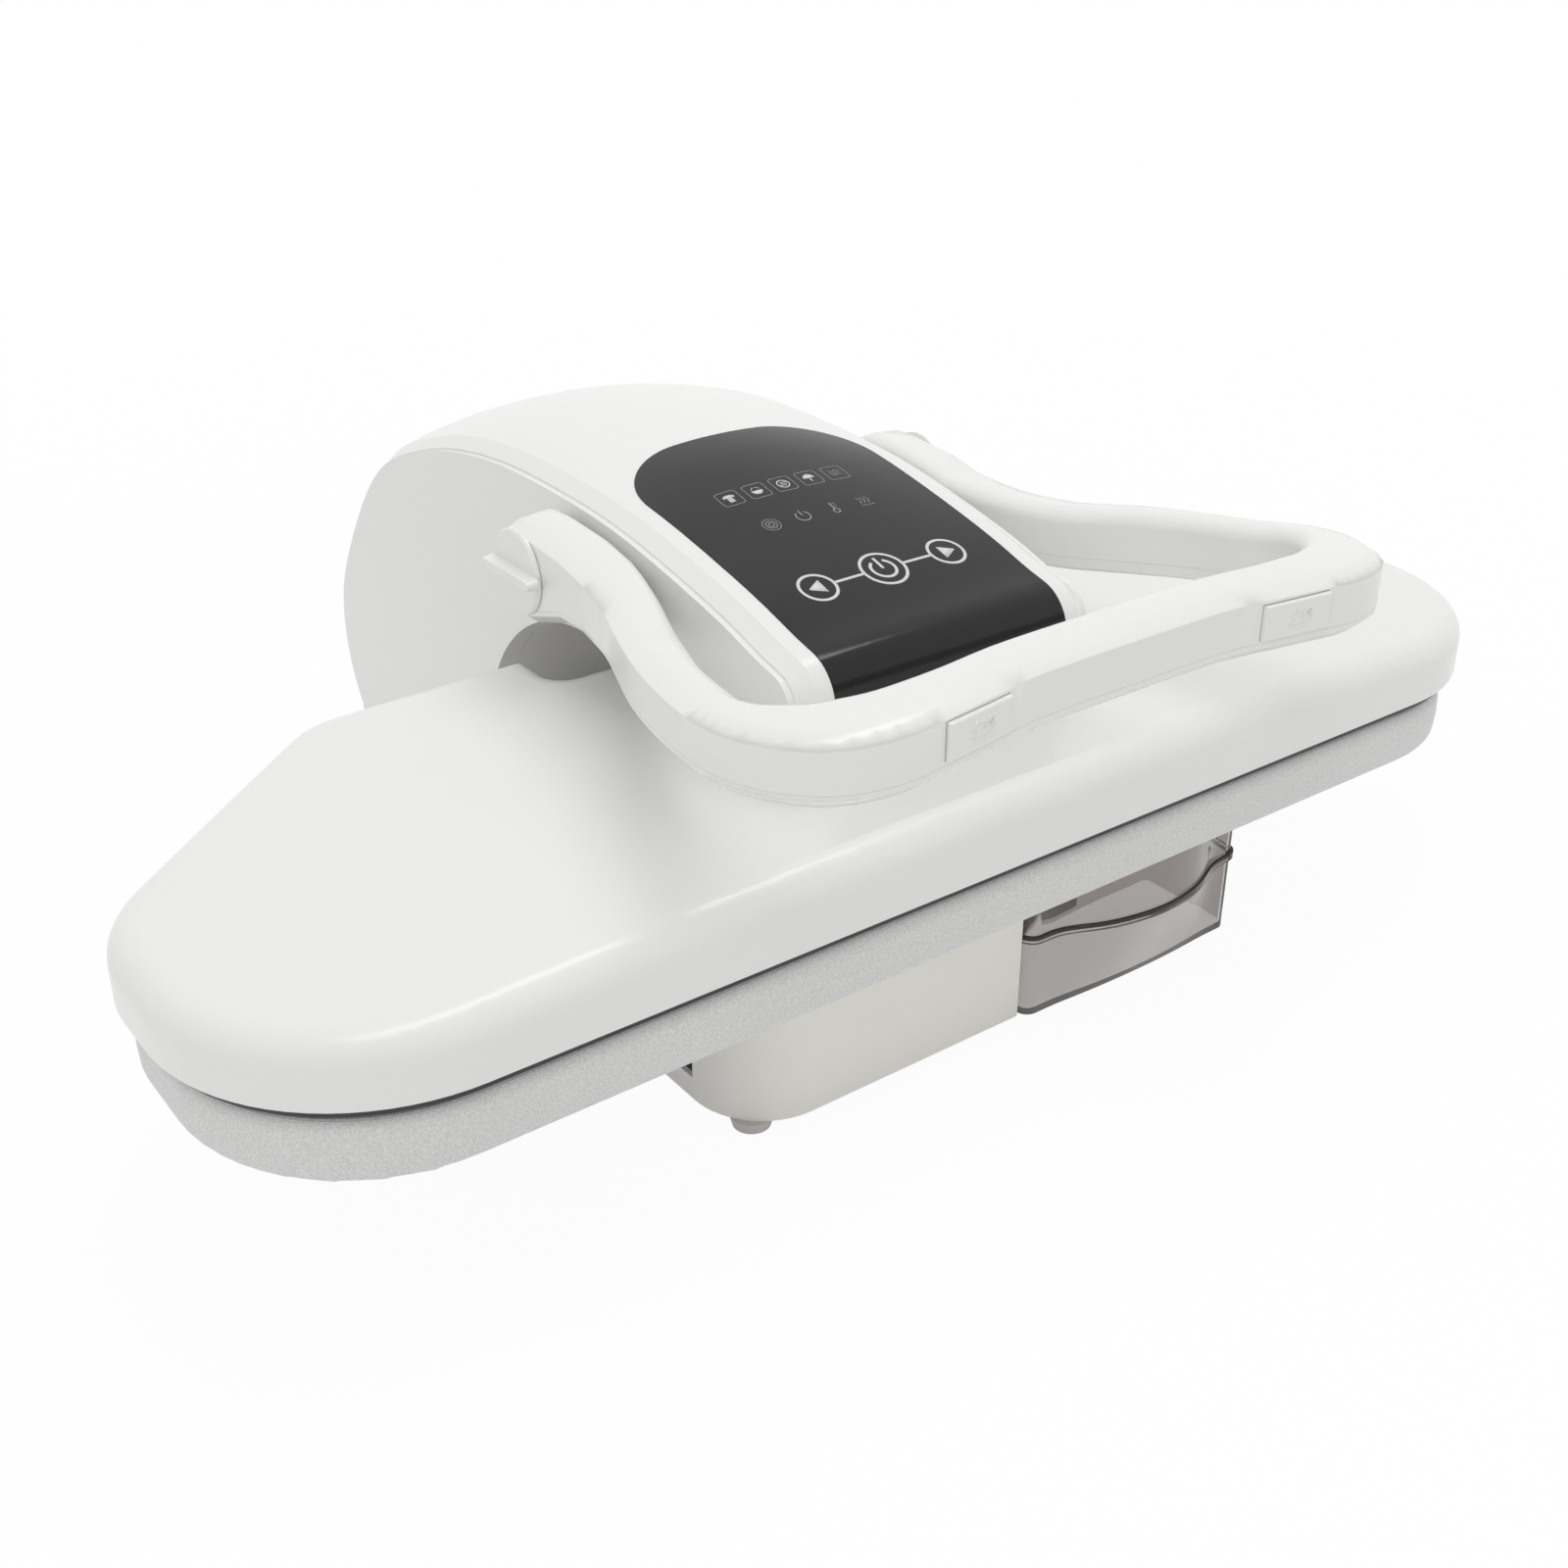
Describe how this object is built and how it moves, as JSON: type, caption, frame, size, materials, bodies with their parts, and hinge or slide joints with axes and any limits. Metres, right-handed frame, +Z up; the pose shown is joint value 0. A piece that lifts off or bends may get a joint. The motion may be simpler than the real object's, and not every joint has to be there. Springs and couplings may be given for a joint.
{
  "type": "steam ironing press",
  "caption": "Table-top steam press with a wing-shaped heated shoe over a padded board, swinging head with touch panel, carrying handle and slide-out clear water tank.",
  "frame": {"origin": "on the table, under the middle of the machine's bounding box", "axes": "+X to the machine's right as its user sees it, +Y to its rear, +Z up"},
  "size_m": [0.68, 0.5574, 0.241],
  "materials": {
    "base_plastic": "fine-textured moulded plastic, warm light grey",
    "brass": "turned brass",
    "card": "green circuit card with its parts",
    "cast_metal": "die-cast aluminium",
    "cloth": "silver-grey heat-reflecting cloth, fine speckled weave",
    "dark_rubber": "moulded rubber",
    "foam": "open-cell foam",
    "inner_plastic": "plain moulded plastic",
    "nylon": "natural nylon",
    "panel_glass": "polished black panel",
    "plate_metal": "cast aluminium with a dark non-stick coat",
    "pump_body": "painted pump body",
    "rubber": "soft moulded rubber",
    "shell_white": "satin moulded plastic, warm white",
    "silicone": "silicone hose",
    "spring_steel": "oiled spring steel",
    "steel": "zinc-plated pressed steel",
    "tank_plastic": "clear smoky moulded plastic"
  },
  "bodies": {
    "base": {"base_shell": "base_plastic", "storage_pocket": "inner_plastic", "base_bottom_plate": "base_plastic", "base_screws": "steel", "rubber_feet": "rubber", "base_frame": "steel", "hinge_bracket_left": "steel", "hinge_bracket_right": "steel", "hinge_shaft": "steel", "shaft_clips": "spring_steel", "hinge_spring_left": "spring_steel", "hinge_spring_right": "spring_steel", "board_pan": "steel", "board_pad": "foam", "board_cover": "cloth", "tank_rail": "nylon", "valve_socket": "nylon", "water_pump": "pump_body", "pump_mount": "dark_rubber", "inlet_hose": "silicone", "outlet_hose": "silicone", "power_board": "card", "cord_gland": "inner_plastic"},
    "press_head": {"top_cover": "shell_white", "control_panel": "panel_glass", "cheek_left": "shell_white", "cheek_right": "shell_white", "arm_bottom_cover": "shell_white", "control_board": "card", "frame_plate_left": "steel", "frame_plate_right": "steel", "frame_crossbar": "steel", "hinge_bush_left": "nylon", "hinge_bush_right": "nylon", "steam_union": "brass", "head_hose": "silicone", "shoe_bracket": "steel", "shoe_cover": "shell_white", "heating_plate": "plate_metal", "steam_chamber_lid": "cast_metal", "heating_element": "steel", "thermostat": "cast_metal", "thermal_fuse": "cast_metal", "handle_axle_left": "steel", "handle_axle_right": "steel"},
    "handle": {"handle_upper_shell": "shell_white", "handle_lower_shell": "shell_white", "handle_core": "steel", "pivot_bush_left": "nylon", "pivot_bush_right": "nylon", "microswitch_left": "inner_plastic", "microswitch_right": "inner_plastic"},
    "steam_button_left": {"steam_button_left": "shell_white"},
    "steam_button_right": {"steam_button_right": "shell_white"},
    "lock_knob_left": {"lock_knob_left": "shell_white"},
    "lock_knob_right": {"lock_knob_right": "shell_white"},
    "water_tank": {"tank_lower_shell": "tank_plastic", "tank_upper_shell": "tank_plastic", "tank_valve": "nylon", "tank_cap": "dark_rubber"}
  },
  "joints": [
    {"name": "head_hinge", "type": "hinge", "parent": "base", "child": "press_head", "pos_m": [0, 0.217, 0.045], "axis": [-1, 0, 0], "range_deg": [0, 45]},
    {"name": "handle_pivot", "type": "hinge", "parent": "press_head", "child": "handle", "pos_m": [0, -0.0095, 0.202], "axis": [-1, 0, 0], "range_deg": [0, 30]},
    {"name": "steam_button_left_push", "type": "slide", "parent": "handle", "child": "steam_button_left", "axis": [0, 1, 0], "range_m": [0, 0.002], "stiffness_N_per_m": 400},
    {"name": "lock_knob_left_turn", "type": "hinge", "parent": "handle", "child": "lock_knob_left", "pos_m": [-0.104, -0.0095, 0.202], "axis": [1, 0, 0], "range_deg": [0, 90]},
    {"name": "steam_button_right_push", "type": "slide", "parent": "handle", "child": "steam_button_right", "axis": [0, 1, 0], "range_m": [0, 0.002], "stiffness_N_per_m": 400},
    {"name": "lock_knob_right_turn", "type": "hinge", "parent": "handle", "child": "lock_knob_right", "pos_m": [0.104, -0.0095, 0.202], "axis": [1, 0, 0], "range_deg": [0, 90]},
    {"name": "tank_slide", "type": "slide", "parent": "base", "child": "water_tank", "axis": [1, 0, 0], "range_m": [0, 0.15]}
  ]
}
